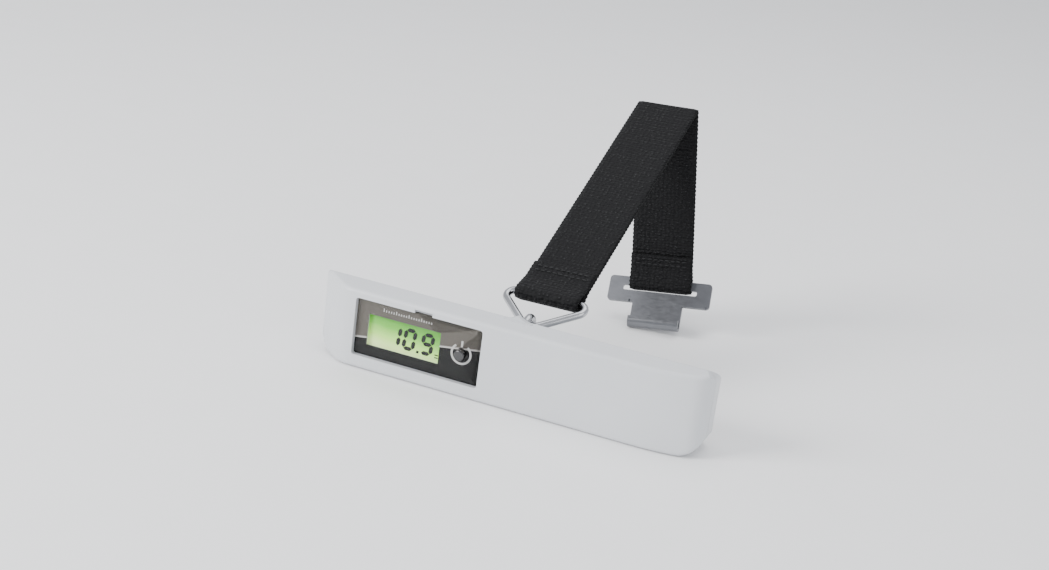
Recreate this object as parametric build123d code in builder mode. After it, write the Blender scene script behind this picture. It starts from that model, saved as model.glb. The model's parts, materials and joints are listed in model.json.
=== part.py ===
from build123d import *
import os
from math import asin, atan2, cos, hypot, radians, sin, sqrt, tan

# Digital luggage scale, standing on the long lower side of its casing.
# Frame: +X along the casing from the display end (head) to the plain end (tail), -Y out of the display
# face, +Z up towards the load hook. The origin is the middle of the casing's lower rest face, in the
# plane where the front and rear shells meet. All sizes are in millimetres.

# ---------------------------------------------------------------- casing
casing_length = 150.0
casing_height = 31.4
front_depth = 8.5
rear_depth = 13.5
wall = 1.7
crease_drop = 1.6
head_bevel_run = 11.7
head_blend_radius = 10.0
head_top_radius = 1.2
head_bottom_radius = 7.5
head_rear_radius = 5.0
tail_sweep = 25.0
tail_nose_radius = 8.0
tail_land_y = 1.5
tail_top_radius = 4.5
tail_bottom_radius = 9.5
tail_rear_radius = 8.0
back_crown_height = 15.0
back_foot_radius = 4.5
front_edge_radius = 1.6
shell_gap = 0.15

# ---------------------------------------------------------------- hook, its guard and its well
hook_x = 3.0
hook_y = 6.0
hook_z = casing_height - 4.2
hook_wire = 3.0
hook_eye_radius = 3.5
hook_end_angle = -55.0
hook_shank_end = 2.6
guard_half_width = 5.4
guard_offset = -1.5
guard_height = 1.6
well_half_width = 7.0
well_rear_room = 1.0
well_floor_z = casing_height - 9.9
well_wall = 1.1
well_front_wall = 0.7
shank_clearance = 0.3

# ---------------------------------------------------------------- display window
window_length = 50.0
window_height = 21.7
window_x = -casing_length / 2 + 41.6
window_z = 16.05
window_thickness = 1.5
window_setback = 0.3
window_clearance = 0.15
window_corner_radius = 1.0
tab_length = 6.7
tab_height = 1.3
tab_x = window_x + 1.8
mask_thickness = 0.15
tape_thickness = 0.15
tape_border = 2.0
pad_border = 1.6
pad_thickness = 1.2

# ---------------------------------------------------------------- display stack and circuit board
display_x = window_x - 5.8
display_z = 15.45
view_length = 28.8
view_height = 11.9
glass_length = 34.0
glass_height = 17.2
glass_thickness = 2.0
guide_thickness = 1.4
guide_border = 1.0
stack_gap = 0.1
carrier_wall = 0.8
rubber_height = 1.4
board_left = window_x - 28.1
board_right = window_x + 25.4
board_bottom = 4.0
board_height = 23.0
board_thickness = 1.2
board_rise = 4.6
board_screws_at = ((board_left + 2.3, 16.0), (board_right - 2.8, 24.3), (board_right - 2.8, 7.2))
board_post = 3.6
board_screw_wire = 1.6
board_screw_head = 3.0
board_screw_head_height = 1.2
thread_clearance = 0.05

# ---------------------------------------------------------------- power button
button_x = window_x + 17.2
button_z = 15.75
button_diameter = 4.0
button_proud = 0.9
button_dome = 0.6
button_flange = 5.4
button_flange_thickness = 0.4
button_stem = 2.4
button_travel = 0.35
button_clearance = 0.1
switch_size = 6.0
switch_height = 3.4
plunger_diameter = 2.8
plunger_length = 0.9
plunger_proud = 0.6

# ---------------------------------------------------------------- load cell
beam_end_reach = 6.5
beam_length = 63.0
beam_front = -2.0
beam_depth = 9.0
beam_floor = 6.0
beam_height = 12.0
beam_bore = 7.0
beam_bore_spacing = 10.0
beam_bore_x = 25.0
beam_slot = 2.0
gauge_length = 8.0
gauge_width = 5.0
gauge_thickness = 0.3
beam_screws_x = (45.0, 55.0)
beam_screw_wire = 3.4
beam_screw_head = 5.6
beam_screw_head_height = 2.2
beam_post = 8.0
beam_screw_reach = 3.5
nut_flats = 5.5
nut_height = 2.4
washer_diameter = 7.0
washer_thickness = 0.5
lead_diameter = 1.2

# ---------------------------------------------------------------- battery
battery_x = window_x - 1.6
battery_z = 14.8
battery_diameter = 20.0
battery_thickness = 3.2
battery_front = 3.0
battery_clearance = 0.4
tray_front = 1.6
tray_floor = 1.0
tray_wall = 1.5
cover_length = 30.0
cover_height = 21.0
cover_clearance = 0.15
cover_ledge = 0.9
free_edge_gap = 0.45
pad_gap = 0.3
pad_diameter = 12.0
contact_sheet = 0.3
contact_width = 2.2
minus_leaf = 3.0

# ---------------------------------------------------------------- screws that close the casing
case_screw_x = casing_length / 2 - 9.0
case_screw_z = (8.5, 21.5)
case_screw_wire = 2.2
case_screw_head = 4.2
case_screw_head_height = 1.6
case_screw_seat = 6.0
case_screw_reach = 3.0
case_post_front = 5.6
case_post_rear = 8.0
head_clearance = 0.3

# ---------------------------------------------------------------- triangular ring
ring_wire = 2.8
ring_reach = 16.5
ring_width = 34.0
ring_vertex_radius = 3.5
ring_corner_radius = 2.8
ring_lean = 63.4
ring_yaw = -5.5
ring_roll = -3.0

# ---------------------------------------------------------------- strap
strap_width = 26.0
strap_thickness = 1.4
strap_lower_length = 110.0
strap_elevation = 31.1
strap_hang = 2.0
strap_twist = -11.0
strap_fold_gap = 0.5
strap_fold_skew = -3.4
strap_loop_clearance = 0.35
lower_hem = 15.0
upper_hem = 13.0
hem_taper = 7.0
hem_tuck = 1.0

# ---------------------------------------------------------------- strap clip
clip_width = 43.0
clip_sheet = 1.2
clip_bar = 3.7
clip_slot_length = 31.0
clip_slot_height = 2.2
clip_ear_height = 11.1
clip_tongue_width = 21.0
clip_length = 22.4
clip_curl_radius = 2.8
clip_lip = 1.2
clip_corner_radius = 1.6
clip_flange = 2.0
clip_tilt = -38.0
clip_loop_clearance = 0.15

# ---------------------------------------------------------------- derived places in depth
front_face = -front_depth
window_front = front_face + window_setback
mask_front = window_front + window_thickness
tape_front = mask_front + mask_thickness
pad_front = tape_front + tape_thickness
pad_back = pad_front + pad_thickness
glass_front = pad_back + stack_gap
glass_back = glass_front + glass_thickness
guide_front = glass_back + stack_gap
guide_back = guide_front + guide_thickness
board_front = pad_back + board_rise
board_back = board_front + board_thickness
battery_back = battery_front + battery_thickness
window_centre = (window_x, window_z)
display_centre = (display_x, display_z)
button_centre = (button_x, button_z)
board_centre = ((board_left + board_right) / 2, board_bottom + board_height / 2)
case_screws_at = [(x, z) for x in (-case_screw_x, case_screw_x) for z in case_screw_z]
shank_y = hook_y - hook_eye_radius
beam_left = hook_x - beam_end_reach
beam_top = beam_floor + beam_height
beam_mid_x = beam_left + beam_length / 2
beam_mid_y = beam_front + beam_depth / 2
beam_mid_z = beam_floor + beam_height / 2
beam_back = beam_front + beam_depth
beam_screws_at = [(x, beam_mid_z) for x in beam_screws_x]
guard_x = hook_x + guard_offset
well_back = hook_y + hook_eye_radius + hook_wire / 2 + well_rear_room

# ---------------------------------------------------------------- directions of the ring and the strap
origin = Vector(0, 0, 0)
across = Vector(1, 0, 0).rotate(Axis.Y, ring_roll).rotate(Axis.Z, ring_yaw)
upright = (Vector(0, 0, 1) - across * across.Z).normalized()
backward = upright.cross(across)
ring_dir = upright * cos(radians(ring_lean)) + backward * sin(radians(ring_lean))
lower_dir = upright * sin(radians(strap_elevation)) + backward * cos(radians(strap_elevation))
upper_hang = upright * -cos(radians(strap_hang)) + backward * sin(radians(strap_hang))
fold_normal = Axis(origin, across.cross(upper_hang))
upper_dir = upper_hang.rotate(fold_normal, strap_fold_skew)
upper_across = across.rotate(fold_normal, strap_fold_skew)
clip_across = upper_across.rotate(Axis(origin, upper_dir), strap_twist)
clip_dir = upper_dir.rotate(Axis(origin, clip_across), clip_tilt)
clip_face = clip_dir.cross(clip_across)

eye_centre = Vector(hook_x, hook_y, hook_z)
bar_centre = eye_centre + ring_dir * ring_reach
lower_up = across.cross(lower_dir)
fold_axis = bar_centre + lower_dir * strap_lower_length - lower_up * strap_thickness

# The upper part of the strap is just long enough for the clip's curl to stand on the table.
curl_mid = clip_curl_radius - clip_sheet / 2
curl_drop = clip_length - clip_bar / 2 - clip_curl_radius
curl_centre_from_bar = clip_dir * curl_drop + clip_face * curl_mid
curl_depth = clip_curl_radius * sqrt(1 - clip_across.Z**2) + clip_tongue_width / 2 * abs(clip_across.Z)
strap_upper_length = (fold_axis.Z + curl_centre_from_bar.Z - curl_depth) / -upper_dir.Z
clip_centre = fold_axis + upper_dir * strap_upper_length


def save(name, builder):
    """Labels a finished piece with its node name and writes its STEP file."""
    builder.part.label = name
    export_step(builder.part, f"parts/{name}.step")


def facing_rear(y):
    """A plane square to Y at depth y whose extrusions run rearwards (+Y)."""
    return Plane(origin=(0, y, 0), x_dir=(-1, 0, 0), z_dir=(0, 1, 0))


def at(points):
    """Places (x, z) points on a plane made by facing_rear."""
    return [(-x, z) for x, z in points]


def corner(end, top):
    """A corner of the casing's outline: end is -1 for the head, 1 for the tail; top is 0 or 1."""
    return (end * casing_length / 2, top * casing_height)


def casing_outline(inset):
    """The casing from the front, with its four different corners."""
    with BuildSketch(Plane.XZ.offset(-2 * rear_depth)) as outline:
        with Locations((0, casing_height / 2)):
            Rectangle(casing_length, casing_height)
        fillet(outline.vertices().sort_by_distance(corner(-1, 0))[0], head_bottom_radius)
        fillet(outline.vertices().sort_by_distance(corner(-1, 1))[0], head_top_radius)
        fillet(outline.vertices().sort_by_distance(corner(1, 0))[0], tail_bottom_radius)
        fillet(outline.vertices().sort_by_distance(corner(1, 1))[0], tail_top_radius)
        if inset:
            offset(amount=-inset, kind=Kind.INTERSECTION)
    return outline.sketch


def casing_plan(inset):
    """The casing from above: bevelled head, long swept tail, rounded rear corners."""
    half = casing_length / 2
    sweep = half - tail_sweep
    # a long shallow arc that runs into the round nose
    rise = tail_land_y - front_face
    run = tail_sweep - tail_nose_radius
    sweep_radius = (run**2 + rise**2 - tail_nose_radius**2) / (2 * (rise - tail_nose_radius))
    span = sweep_radius - tail_nose_radius
    towards_nose = (run / span, (rise - sweep_radius) / span)
    nose_start = (
        half - tail_nose_radius + tail_nose_radius * towards_nose[0],
        tail_land_y + tail_nose_radius * towards_nose[1],
    )
    nose_tangent = (-towards_nose[1], towards_nose[0])
    with BuildSketch(Plane.XY.offset(-casing_height)) as plan:
        with BuildLine():
            Polyline(
                (half, tail_land_y),
                (half, rear_depth),
                (-half, rear_depth),
                (-half, 0),
                (head_bevel_run - half, front_face),
                (sweep, front_face),
            )
            TangentArc((sweep, front_face), nose_start, tangent=(1, 0))
            TangentArc(nose_start, (half, tail_land_y), tangent=nose_tangent)
        make_face()
        fillet(plan.vertices().sort_by_distance((head_bevel_run - half, front_face))[0], head_blend_radius)
        fillet(plan.vertices().sort_by_distance((-half, rear_depth))[0], head_rear_radius)
        fillet(plan.vertices().sort_by_distance((half, rear_depth))[0], tail_rear_radius)
        if inset:
            offset(amount=-inset, kind=Kind.INTERSECTION)
    return plan.sketch


def casing_side(inset):
    """The casing from its end: ridge over the joint, drafted front, round back, flat foot."""
    with BuildSketch(Plane.YZ.offset(-casing_length)) as side:
        with BuildLine():
            TangentArc((0, casing_height), (rear_depth, back_crown_height), tangent=(0.94, -0.342))
            Polyline(
                (rear_depth, back_crown_height),
                (rear_depth, 0),
                (front_face, 0),
                (front_face, casing_height - crease_drop),
                (0, casing_height),
            )
        make_face()
        fillet(side.vertices().sort_by_distance((rear_depth, 0))[0], back_foot_radius)
        if inset:
            offset(amount=-inset, kind=Kind.INTERSECTION)
    return side.sketch


def casing_form(inset):
    """Solid form of the whole casing, moved in everywhere by inset."""
    with BuildPart() as form:
        add(casing_outline(inset))
        extrude(amount=4 * rear_depth, dir=(0, -1, 0))
        add(casing_plan(inset))
        extrude(amount=3 * casing_height, dir=(0, 0, 1), mode=Mode.INTERSECT)
        add(casing_side(inset))
        extrude(amount=2 * casing_length, dir=(1, 0, 0), mode=Mode.INTERSECT)
    return form.part


def in_casing(inset, y_from, y_to):
    """The part of the casing form between two depths."""
    with BuildPart() as piece:
        add(casing_form(inset))
        with BuildSketch(facing_rear(y_from)):
            Rectangle(2 * casing_length, 4 * casing_height)
        extrude(amount=y_to - y_from, mode=Mode.INTERSECT)
    return piece.part


os.makedirs("parts", exist_ok=True)

# ================================================================ front shell
with BuildPart() as front_ribs:
    with BuildSketch(facing_rear(pad_front - 0.6)):
        with Locations(at([window_centre])):
            Rectangle(window_length + 2 * pad_border, window_height + 2 * pad_border)
    extrude(amount=pad_thickness + 0.6)
    with BuildSketch(facing_rear(front_face)):
        with Locations(at(case_screws_at)):
            Circle(case_post_front / 2)
    extrude(amount=front_depth - shell_gap / 2)
    with BuildSketch(facing_rear(pad_front)):
        with Locations(at(board_screws_at)):
            Circle(board_post / 2)
    extrude(amount=board_front - pad_front)
    add(casing_form(wall / 2), mode=Mode.INTERSECT)

with BuildPart() as front_shell:
    add(in_casing(0, 2 * front_face, -shell_gap / 2))
    rim = front_shell.edges().filter_by(
        lambda e: e.center().Y < front_face / 4
        and abs(e.tangent_at(0.5).Y) < 0.95
        and (e.center().Z < 1 or e.center().Z > casing_height - crease_drop - 1)
    )
    fillet(rim, front_edge_radius)
    add(in_casing(wall, 2 * front_face, 1), mode=Mode.SUBTRACT)
    add(front_ribs.part)
    # hook guard standing on the ridge
    with BuildSketch(Plane.XZ.offset(shell_gap / 2)):
        with BuildLine():
            Spline(
                (guard_x - guard_half_width, casing_height - shell_gap / 2),
                (guard_x, casing_height + guard_height),
                (guard_x + guard_half_width, casing_height - shell_gap / 2),
                tangents=((1, 0), (1, 0)),
            )
            Polyline(
                (guard_x + guard_half_width, casing_height - shell_gap / 2),
                (guard_x + guard_half_width, casing_height - wall),
                (guard_x - guard_half_width, casing_height - wall),
                (guard_x - guard_half_width, casing_height - shell_gap / 2),
            )
        make_face()
    extrude(amount=wall)
    # window recess with its finger tab, display opening and button pocket
    with BuildSketch(facing_rear(2 * front_face)):
        with Locations(at([window_centre])):
            RectangleRounded(
                window_length + 2 * window_clearance,
                window_height + 2 * window_clearance,
                window_corner_radius + window_clearance,
            )
        with Locations(at([(tab_x, window_z + window_height / 2)])):
            Rectangle(tab_length + 2 * window_clearance, 2 * (tab_height + window_clearance))
    extrude(amount=pad_front - 2 * front_face, mode=Mode.SUBTRACT)
    with BuildSketch(facing_rear(pad_front)):
        with Locations(at([display_centre])):
            Rectangle(view_length + 0.8, view_height + 0.8)
        with Locations(at([button_centre])):
            Circle(button_stem / 2 + button_clearance)
    extrude(amount=pad_thickness, mode=Mode.SUBTRACT)
    with BuildSketch(facing_rear(pad_front)):
        with Locations(at([button_centre])):
            Circle(button_flange / 2 + 2 * button_clearance)
    extrude(amount=button_flange_thickness + button_travel + 0.05, mode=Mode.SUBTRACT)
    # screw holes
    with BuildSketch(facing_rear(-case_screw_reach - 0.4)):
        with Locations(at(case_screws_at)):
            Circle(case_screw_wire / 2 + thread_clearance)
    extrude(amount=case_screw_reach + 1, mode=Mode.SUBTRACT)
    with BuildSketch(facing_rear(pad_back + 0.4)):
        with Locations(at(board_screws_at)):
            Circle(board_screw_wire / 2 + thread_clearance)
    extrude(amount=board_rise, mode=Mode.SUBTRACT)
save("front_shell", front_shell)

# ================================================================ rear shell
tray_length = cover_length + 2 * tray_wall + 1.0
tray_height = cover_height + 2 * tray_wall + 1.0
tray_back_floor = tray_front + tray_floor
battery_centre = (battery_x, battery_z)
plus_x = battery_x + battery_diameter / 2 + contact_sheet / 2 + 0.03
pocket_depth = battery_back + 0.4

with BuildPart() as rear_ribs:
    with BuildSketch(facing_rear(shell_gap / 2)):
        with Locations(at(case_screws_at)):
            Circle(case_post_rear / 2)
    extrude(amount=rear_depth)
    with BuildSketch(facing_rear(tray_front)):
        with Locations(at([battery_centre])):
            Rectangle(tray_length, tray_height)
    extrude(amount=rear_depth)
    with BuildSketch(facing_rear(beam_back)):
        with Locations(at(beam_screws_at)):
            Circle(beam_post / 2)
    extrude(amount=rear_depth - beam_back)
    with BuildSketch(Plane.XY.offset(well_floor_z - well_wall)):
        with Locations((hook_x, (well_back + well_wall + shell_gap / 2) / 2)):
            Rectangle(2 * (well_half_width + well_wall), well_back + well_wall - shell_gap / 2)
    extrude(amount=casing_height)
    add(casing_form(wall / 2), mode=Mode.INTERSECT)

with BuildPart() as cover_opening:
    with BuildSketch(facing_rear(pocket_depth - 1)):
        with Locations(at([(battery_x + (free_edge_gap - cover_clearance) / 2, battery_z)])):
            Rectangle(cover_length + cover_clearance + free_edge_gap, cover_height + 2 * cover_clearance)
    extrude(amount=2 * rear_depth)
    add(casing_form(wall + cover_clearance), mode=Mode.SUBTRACT)

with BuildPart() as rear_shell:
    add(in_casing(0, shell_gap / 2, 2 * rear_depth))
    add(in_casing(wall, -1, 2 * rear_depth), mode=Mode.SUBTRACT)
    add(rear_ribs.part)
    # hook well, open upwards, and the hole for the shank
    with BuildSketch(Plane.XY.offset(well_floor_z)):
        with Locations((hook_x, (well_back + well_front_wall + shell_gap / 2) / 2)):
            RectangleRounded(2 * well_half_width, well_back - well_front_wall - shell_gap / 2, 2.0)
    extrude(amount=casing_height, mode=Mode.SUBTRACT)
    with BuildSketch(Plane.XY.offset(beam_top)):
        with Locations((hook_x, shank_y)):
            Circle(hook_wire / 2 + shank_clearance)
    extrude(amount=casing_height, mode=Mode.SUBTRACT)
    # battery pocket and cover opening
    with BuildSketch(facing_rear(tray_back_floor)):
        with Locations(at([battery_centre])):
            Circle(battery_diameter / 2 + battery_clearance)
    extrude(amount=2 * rear_depth, mode=Mode.SUBTRACT)
    with BuildSketch(facing_rear(pocket_depth)):
        with Locations(at([battery_centre])):
            Rectangle(cover_length - 2 * cover_ledge, cover_height - 2 * cover_ledge)
    extrude(amount=2 * rear_depth, mode=Mode.SUBTRACT)
    add(cover_opening.part, mode=Mode.SUBTRACT)
    with BuildSketch(facing_rear(tray_front - 1)):
        with Locations(at([battery_centre])):
            Rectangle(minus_leaf + 0.6, contact_width + 0.6)
        with Locations(at([(plus_x, battery_z)])):
            Rectangle(3 * contact_sheet, contact_width + 0.6)
    extrude(amount=tray_floor + 2, mode=Mode.SUBTRACT)
    # case screws: clearance hole and counterbore
    with BuildSketch(facing_rear(-1)):
        with Locations(at(case_screws_at)):
            Circle(case_screw_wire / 2 + head_clearance / 2)
    extrude(amount=2 * rear_depth, mode=Mode.SUBTRACT)
    with BuildSketch(facing_rear(case_screw_seat)):
        with Locations(at(case_screws_at)):
            Circle(case_screw_head / 2 + head_clearance)
    extrude(amount=2 * rear_depth, mode=Mode.SUBTRACT)
    # blind holes for the load cell screws
    with BuildSketch(facing_rear(beam_back - 1)):
        with Locations(at(beam_screws_at)):
            Circle(beam_screw_wire / 2 + thread_clearance)
    extrude(amount=beam_screw_reach + 1.3, mode=Mode.SUBTRACT)
save("rear_shell", rear_shell)

# ================================================================ window, mask and tape
with BuildPart() as display_window:
    with BuildSketch(facing_rear(window_front)):
        with Locations(at([window_centre])):
            RectangleRounded(window_length, window_height, window_corner_radius)
        with Locations(at([(tab_x, window_z + window_height / 2)])):
            Rectangle(tab_length, 2 * tab_height)
        with Locations(at([button_centre])):
            Circle(button_diameter / 2 + button_clearance, mode=Mode.SUBTRACT)
    extrude(amount=window_thickness)
save("display_window", display_window)

with BuildPart() as window_mask:
    with BuildSketch(facing_rear(mask_front)):
        with Locations(at([window_centre])):
            RectangleRounded(window_length, window_height, window_corner_radius)
        with Locations(at([display_centre])):
            Rectangle(view_length, view_height, mode=Mode.SUBTRACT)
        with Locations(at([button_centre])):
            Circle(button_diameter / 2 + 2 * button_clearance, mode=Mode.SUBTRACT)
    extrude(amount=mask_thickness)
save("window_mask", window_mask)

with BuildPart() as window_tape:
    with BuildSketch(facing_rear(tape_front)):
        with Locations(at([window_centre])):
            RectangleRounded(window_length, window_height, window_corner_radius)
            Rectangle(window_length - 2 * tape_border, window_height - 2 * tape_border, mode=Mode.SUBTRACT)
    extrude(amount=tape_thickness)
save("window_tape", window_tape)

# ================================================================ power button and its switch
flange_front = pad_front + 0.02
flange_back = flange_front + button_flange_thickness
switch_front = board_front - switch_height
plunger_front = switch_front - plunger_proud
dome_base = window_front - button_proud + button_dome

with BuildPart() as power_button:
    with BuildSketch(facing_rear(dome_base)):
        with Locations(at([button_centre])):
            Circle(button_diameter / 2)
    extrude(amount=flange_back - dome_base)
    with BuildSketch(Plane.XZ.offset(-dome_base)):
        with Locations([button_centre]):
            Circle(button_diameter / 2)
    extrude(amount=button_dome)
    top_edge = power_button.edges().group_by(Axis.Y)[0]
    fillet(top_edge, button_dome * 0.9)
    with BuildSketch(facing_rear(flange_front)):
        with Locations(at([button_centre])):
            Circle(button_flange / 2)
    extrude(amount=button_flange_thickness)
    with BuildSketch(facing_rear(flange_front)):
        with Locations(at([button_centre])):
            Circle(button_stem / 2)
    extrude(amount=plunger_front - 0.05 - flange_front)
save("power_button", power_button)

with BuildPart() as switch_body:
    with BuildSketch(facing_rear(switch_front)):
        with Locations(at([button_centre])):
            Rectangle(switch_size, switch_size)
    extrude(amount=switch_height)
    with BuildSketch(facing_rear(switch_front)):
        with Locations(at([button_centre])):
            Circle(plunger_diameter / 2 + button_clearance)
    extrude(amount=plunger_length, mode=Mode.SUBTRACT)
save("switch_body", switch_body)

with BuildPart() as switch_plunger:
    with BuildSketch(facing_rear(plunger_front)):
        with Locations(at([button_centre])):
            Circle(plunger_diameter / 2)
    extrude(amount=plunger_length)
save("switch_plunger", switch_plunger)

# ================================================================ display stack
with BuildPart() as lcd_cell:
    with BuildSketch(facing_rear(glass_front)):
        with Locations(at([display_centre])):
            Rectangle(glass_length, glass_height)
    extrude(amount=glass_thickness)
save("lcd_cell", lcd_cell)

with BuildPart() as lcd_frame:
    with BuildSketch(facing_rear(glass_front)):
        with Locations(at([display_centre])):
            RectangleRounded(
                glass_length + 2 * (stack_gap + carrier_wall),
                glass_height + 2 * (stack_gap + carrier_wall),
                carrier_wall,
            )
            Rectangle(glass_length + 2 * stack_gap, glass_height + 2 * stack_gap, mode=Mode.SUBTRACT)
    extrude(amount=board_front - glass_front)
save("lcd_frame", lcd_frame)

with BuildPart() as light_guide:
    with BuildSketch(facing_rear(guide_front)):
        with Locations(at([display_centre])):
            Rectangle(
                glass_length - 2 * guide_border,
                glass_height - 2 * (rubber_height + stack_gap),
            )
    extrude(amount=guide_thickness)
save("light_guide", light_guide)

with BuildPart() as backlight_led:
    with BuildSketch(facing_rear(guide_back + stack_gap)):
        with Locations(at([display_centre])):
            Rectangle(3.2, 2.0)
    extrude(amount=board_front - guide_back - stack_gap)
save("backlight_led", backlight_led)

with BuildPart() as zebra_strips:
    with BuildSketch(facing_rear(glass_back)):
        with Locations(at([display_centre])):
            with Locations(
                (0, (glass_height - rubber_height) / 2),
                (0, (rubber_height - glass_height) / 2),
            ):
                Rectangle(glass_length - 2 * guide_border, rubber_height)
    extrude(amount=board_front - glass_back)
save("zebra_strips", zebra_strips)

# ================================================================ circuit board
with BuildPart() as circuit_board:
    with BuildSketch(facing_rear(board_front)):
        with Locations(at([board_centre])):
            RectangleRounded(board_right - board_left, board_height, 1.0)
        with Locations(at(board_screws_at)):
            Circle(board_screw_wire / 2 + 0.15, mode=Mode.SUBTRACT)
    extrude(amount=board_thickness)
save("circuit_board", circuit_board)

with BuildPart() as controller_blob:
    with BuildSketch(facing_rear(board_back)):
        with Locations(at([(board_right - 5.0, button_z)])):
            Circle(3.4)
    extrude(amount=1.2)
    fillet(controller_blob.edges().group_by(Axis.Y)[-1], 1.0)
save("controller_blob", controller_blob)

with BuildPart() as board_parts:
    with BuildSketch(facing_rear(board_back)):
        with Locations(at([(-55.5, 7.5), (-55.5, 10.5), (-55.5, 21.0)])):
            Rectangle(2.0, 1.2)
        with Locations(at([(-55.0, 24.0)])):
            Rectangle(3.2, 1.6)
    extrude(amount=0.8)
save("board_parts", board_parts)

with BuildPart() as board_screws:
    with BuildSketch(facing_rear(board_back)):
        with Locations(at(board_screws_at)):
            Circle(board_screw_head / 2)
    extrude(amount=board_screw_head_height)
    with BuildSketch(facing_rear(pad_back + 0.8)):
        with Locations(at(board_screws_at)):
            Circle(board_screw_wire / 2)
    extrude(amount=board_back - pad_back - 0.8)
save("board_screws", board_screws)

# ================================================================ load cell
with BuildPart() as load_cell:
    with BuildSketch(facing_rear(beam_front)):
        with Locations(at([(beam_mid_x, beam_mid_z)])):
            Rectangle(beam_length, beam_height)
        with Locations(
            at([(beam_bore_x + side * beam_bore_spacing / 2, beam_mid_z) for side in (-1, 1)])
        ):
            Circle(beam_bore / 2, mode=Mode.SUBTRACT)
        with Locations(at([(beam_bore_x, beam_mid_z)])):
            Rectangle(beam_bore_spacing, beam_slot, mode=Mode.SUBTRACT)
        with Locations(at(beam_screws_at)):
            Circle(beam_screw_wire / 2 + thread_clearance, mode=Mode.SUBTRACT)
    extrude(amount=beam_depth)
    with BuildSketch(facing_rear(beam_front)):
        with Locations(at(beam_screws_at)):
            Circle(beam_screw_head / 2 + head_clearance)
    extrude(amount=beam_screw_head_height, mode=Mode.SUBTRACT)
    with BuildSketch(Plane.XY.offset(beam_floor)):
        with Locations((hook_x, shank_y)):
            Circle(hook_wire / 2 + thread_clearance)
    extrude(amount=beam_height, mode=Mode.SUBTRACT)
save("load_cell", load_cell)

with BuildPart() as strain_gauges:
    with BuildSketch(Plane.XY.offset(beam_top)):
        with Locations((beam_bore_x, beam_mid_y)):
            Rectangle(gauge_length, gauge_width)
    extrude(amount=gauge_thickness)
    with BuildSketch(Plane.XY.offset(beam_floor - gauge_thickness)):
        with Locations((beam_bore_x, beam_mid_y)):
            Rectangle(gauge_length, gauge_width)
    extrude(amount=gauge_thickness)
save("strain_gauges", strain_gauges)

with BuildPart() as cell_screws:
    with BuildSketch(facing_rear(beam_front)):
        with Locations(at(beam_screws_at)):
            Circle(beam_screw_head / 2)
    extrude(amount=beam_screw_head_height)
    with BuildSketch(facing_rear(beam_front)):
        with Locations(at(beam_screws_at)):
            Circle(beam_screw_wire / 2)
    extrude(amount=beam_depth + beam_screw_reach)
    with BuildSketch(facing_rear(beam_front)):
        with Locations(at(beam_screws_at)):
            RegularPolygon(radius=1.5, side_count=6)
    extrude(amount=1.2, mode=Mode.SUBTRACT)
save("cell_screws", cell_screws)

with BuildPart() as load_hook:
    with BuildLine(Plane.YZ.offset(hook_x)) as hook_path:
        Line((shank_y, hook_shank_end), (shank_y, hook_z))
        CenterArc((hook_y, hook_z), hook_eye_radius, 180, hook_end_angle - 180)
    with BuildSketch(Plane.XY.offset(hook_shank_end)):
        with Locations((hook_x, shank_y)):
            Circle(hook_wire / 2)
    sweep(path=hook_path.wires()[0])
save("load_hook", load_hook)

washer_floor = beam_floor - washer_thickness
with BuildPart() as hook_washer:
    with BuildSketch(Plane.XY.offset(washer_floor)):
        with Locations((hook_x, shank_y)):
            Circle(washer_diameter / 2)
            Circle(hook_wire / 2 + thread_clearance, mode=Mode.SUBTRACT)
    extrude(amount=washer_thickness)
save("hook_washer", hook_washer)

with BuildPart() as hook_nut:
    with BuildSketch(Plane.XY.offset(washer_floor - nut_height)):
        with Locations((hook_x, shank_y)):
            RegularPolygon(radius=nut_flats / 2, side_count=6, major_radius=False)
            Circle(hook_wire / 2 + thread_clearance, mode=Mode.SUBTRACT)
    extrude(amount=nut_height)
save("hook_nut", hook_nut)

lead_z = beam_top + gauge_thickness + lead_diameter / 2
lead_y = shank_y - hook_wire / 2 - lead_diameter / 2 - 0.6
with BuildPart() as gauge_leads:
    with BuildLine(Plane.XY.offset(lead_z)) as lead_path:
        FilletPolyline(
            (beam_bore_x - gauge_length / 4, beam_mid_y),
            (hook_x + 9.0, beam_mid_y),
            (hook_x + 5.0, lead_y),
            (board_right + 0.05, lead_y),
            radius=2.0,
        )
    with BuildSketch(Plane(origin=lead_path.line @ 0, z_dir=lead_path.line % 0)):
        Circle(lead_diameter / 2)
    sweep()
save("gauge_leads", gauge_leads)

# ================================================================ battery, contacts and cover
with BuildPart() as battery_cell:
    with BuildSketch(facing_rear(battery_front)):
        with Locations(at([battery_centre])):
            Circle(battery_diameter / 2)
    extrude(amount=battery_thickness)
    fillet(battery_cell.edges().group_by(Axis.Y)[-1], 0.3)
save("battery_cell", battery_cell)

with BuildPart() as contact_minus:
    with BuildSketch(facing_rear(board_back)):
        with Locations(at([battery_centre])):
            Rectangle(minus_leaf, contact_width)
    extrude(amount=contact_sheet)
    with BuildSketch(facing_rear(board_back)):
        with Locations(at([(battery_x + (minus_leaf - contact_sheet) / 2, battery_z)])):
            Rectangle(contact_sheet, contact_width)
    extrude(amount=battery_front - board_back)
    with BuildSketch(facing_rear(battery_front - contact_sheet)):
        with Locations(at([battery_centre])):
            Rectangle(minus_leaf, contact_width)
    extrude(amount=contact_sheet)
save("contact_minus", contact_minus)

with BuildPart() as contact_plus:
    with BuildSketch(facing_rear(board_back)):
        with Locations(at([(plus_x + 1.0, battery_z)])):
            Rectangle(2.0 + contact_sheet, contact_width)
    extrude(amount=contact_sheet)
    with BuildSketch(facing_rear(board_back)):
        with Locations(at([(plus_x, battery_z)])):
            Rectangle(contact_sheet, contact_width)
    extrude(amount=battery_back - board_back - 0.4)
save("contact_plus", contact_plus)

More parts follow.
